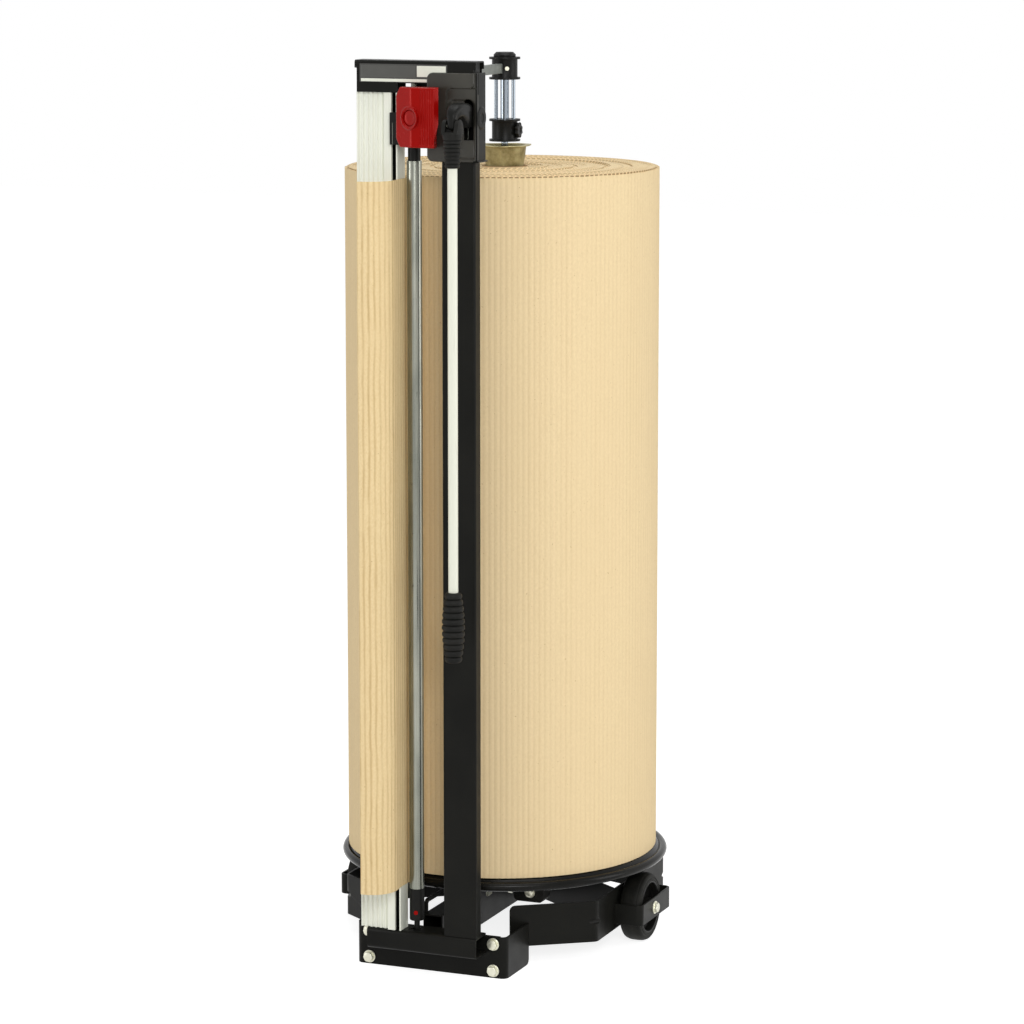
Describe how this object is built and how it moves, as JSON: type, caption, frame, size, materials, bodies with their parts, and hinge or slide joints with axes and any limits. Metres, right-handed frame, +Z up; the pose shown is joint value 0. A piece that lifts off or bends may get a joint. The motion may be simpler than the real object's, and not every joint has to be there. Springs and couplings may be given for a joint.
{
  "type": "cardboard roll stand with cutter",
  "caption": "Mobile upright stand that holds a roll of corrugated cardboard on a turntable, with pull-rod clamp and sliding blade carriage for cutting it to length.",
  "frame": {"origin": "bottom centre of the whole stand's bounding box, on the floor", "axes": "+Z up, -Y towards the operator in front of the cutter, +X to the operator's right"},
  "size_m": [0.494, 0.616, 1.293],
  "materials": {
    "black_frame": "satin powder coat",
    "zinc_bolt": "bright zinc",
    "aluminium_profile": "satin, off-white anodised",
    "bright_steel": "ground",
    "black_plastic": "matte",
    "black_rubber": "matte",
    "tyre": "matte",
    "red_plastic": "gloss",
    "white_rod": "satin",
    "label": "satin",
    "zinc_cup": "yellow passivated zinc",
    "grey_bar": "satin grey",
    "cardboard": "matte"
  },
  "bodies": {
    "stand": {"front_bracket": "black_frame", "frame_bolts": "zinc_bolt", "crossbar": "black_frame", "spine": "black_frame", "mast": "black_frame", "fluted_profile": "aluminium_profile", "blade_slot_seal": "black_rubber", "header": "black_frame", "label_plate": "label", "housing": "black_frame", "pivot_pin": "zinc_bolt", "return_spring": "bright_steel", "spindle": "bright_steel", "thrust_bearing": "bright_steel", "centring_arm": "grey_bar", "upper_collar": "black_plastic", "collar_bolt": "zinc_bolt", "brake_lug": "black_frame", "brake_link": "black_frame", "brake_rod": "zinc_bolt", "brake_block": "black_rubber", "brake_bolt": "zinc_bolt", "cardboard_web": "cardboard", "right_leg": "black_frame", "left_leg": "black_frame", "right_cross_plate": "black_frame", "left_cross_plate": "black_frame", "right_wheel_strap": "black_frame", "left_wheel_strap": "black_frame", "right_axle": "zinc_bolt", "left_axle": "zinc_bolt"},
    "turntable": {"turntable": "black_frame", "roll_core": "cardboard", "cardboard_roll": "cardboard"},
    "rocker": {"rocker_arm": "black_plastic"},
    "pull_handle": {"pull_yoke": "black_rubber", "yoke_pin": "zinc_bolt", "pull_rod": "white_rod", "rod_grip": "black_rubber"},
    "clamp": {"clamp_tube": "bright_steel", "tube_top_plug": "black_plastic", "clamp_link": "bright_steel", "tube_bottom_cap": "black_plastic", "tube_foot_stud": "bright_steel"},
    "release_button": {"release_button": "red_plastic"},
    "carriage": {"carriage_cover": "red_plastic", "carriage_body": "black_plastic", "blade": "bright_steel"},
    "blade_button": {"blade_button": "red_plastic"},
    "centring_carrier": {"carrier_rods": "bright_steel", "rod_cap": "black_plastic", "lower_collar": "black_plastic", "cup_axle": "bright_steel"},
    "locking_knob": {"locking_knob": "black_plastic"},
    "centring_cup": {"centring_cup": "zinc_cup"},
    "right_wheel": {"right_tyre": "tyre", "right_wheel_hub": "black_plastic"},
    "left_wheel": {"left_tyre": "tyre", "left_wheel_hub": "black_plastic"}
  },
  "joints": [
    {"name": "turntable_spin", "type": "hinge", "parent": "stand", "child": "turntable", "pos_m": [0.004, 0.068, 0.13], "axis": [0, 0, 1], "continuous": true},
    {"name": "rocker_pull", "type": "hinge", "parent": "stand", "child": "rocker", "pos_m": [0.0764, -0.224, 1.216], "axis": [1, 0, 0], "range_deg": [0, 30], "stiffness_Nm_per_rad": 1.2, "springref_deg": -40.11},
    {"name": "handle_hang", "type": "hinge", "parent": "rocker", "child": "pull_handle", "pos_m": [0.0764, -0.292, 1.209], "axis": [1, 0, 0], "range_deg": [-30, 0]},
    {"name": "clamp_shift", "type": "slide", "parent": "stand", "child": "clamp", "axis": [-1, 0, 0], "range_m": [0, 0.0039]},
    {"name": "release_press", "type": "slide", "parent": "clamp", "child": "release_button", "axis": [-0.2588, 0.9659, 0], "range_m": [0, 0.002], "stiffness_N_per_m": 300, "springref_m": -0.001},
    {"name": "carriage_slide", "type": "slide", "parent": "clamp", "child": "carriage", "axis": [0, 0, -1], "range_m": [0, 1.077], "deforming": ["cardboard_web"]},
    {"name": "blade_button_press", "type": "slide", "parent": "carriage", "child": "blade_button", "axis": [0, 1, 0], "range_m": [0, 0.002], "stiffness_N_per_m": 400, "springref_m": -0.001},
    {"name": "carrier_lift", "type": "slide", "parent": "stand", "child": "centring_carrier", "axis": [0, 0, 1], "range_m": [0, 0.05]},
    {"name": "knob_turn", "type": "hinge", "parent": "centring_carrier", "child": "locking_knob", "pos_m": [0.0225, 0.068, 1.181], "axis": [1, 0, 0], "range_deg": [0, 270]},
    {"name": "cup_spin", "type": "hinge", "parent": "centring_carrier", "child": "centring_cup", "pos_m": [0.004, 0.068, 1.16], "axis": [0, 0, 1], "continuous": true},
    {"name": "right_wheel_spin", "type": "hinge", "parent": "stand", "child": "right_wheel", "pos_m": [0.2185, 0.068, 0.05], "axis": [1, 0, 0], "continuous": true},
    {"name": "left_wheel_spin", "type": "hinge", "parent": "stand", "child": "left_wheel", "pos_m": [-0.2185, 0.068, 0.05], "axis": [1, 0, 0], "continuous": true}
  ],
  "couplings": [
    {"joint": "handle_hang", "follows": "rocker_pull", "ratio": -1},
    {"joint": "clamp_shift", "follows": "rocker_pull", "m_per_rad": 0.007448},
    {"joint": "cup_spin", "follows": "turntable_spin", "ratio": 1}
  ]
}
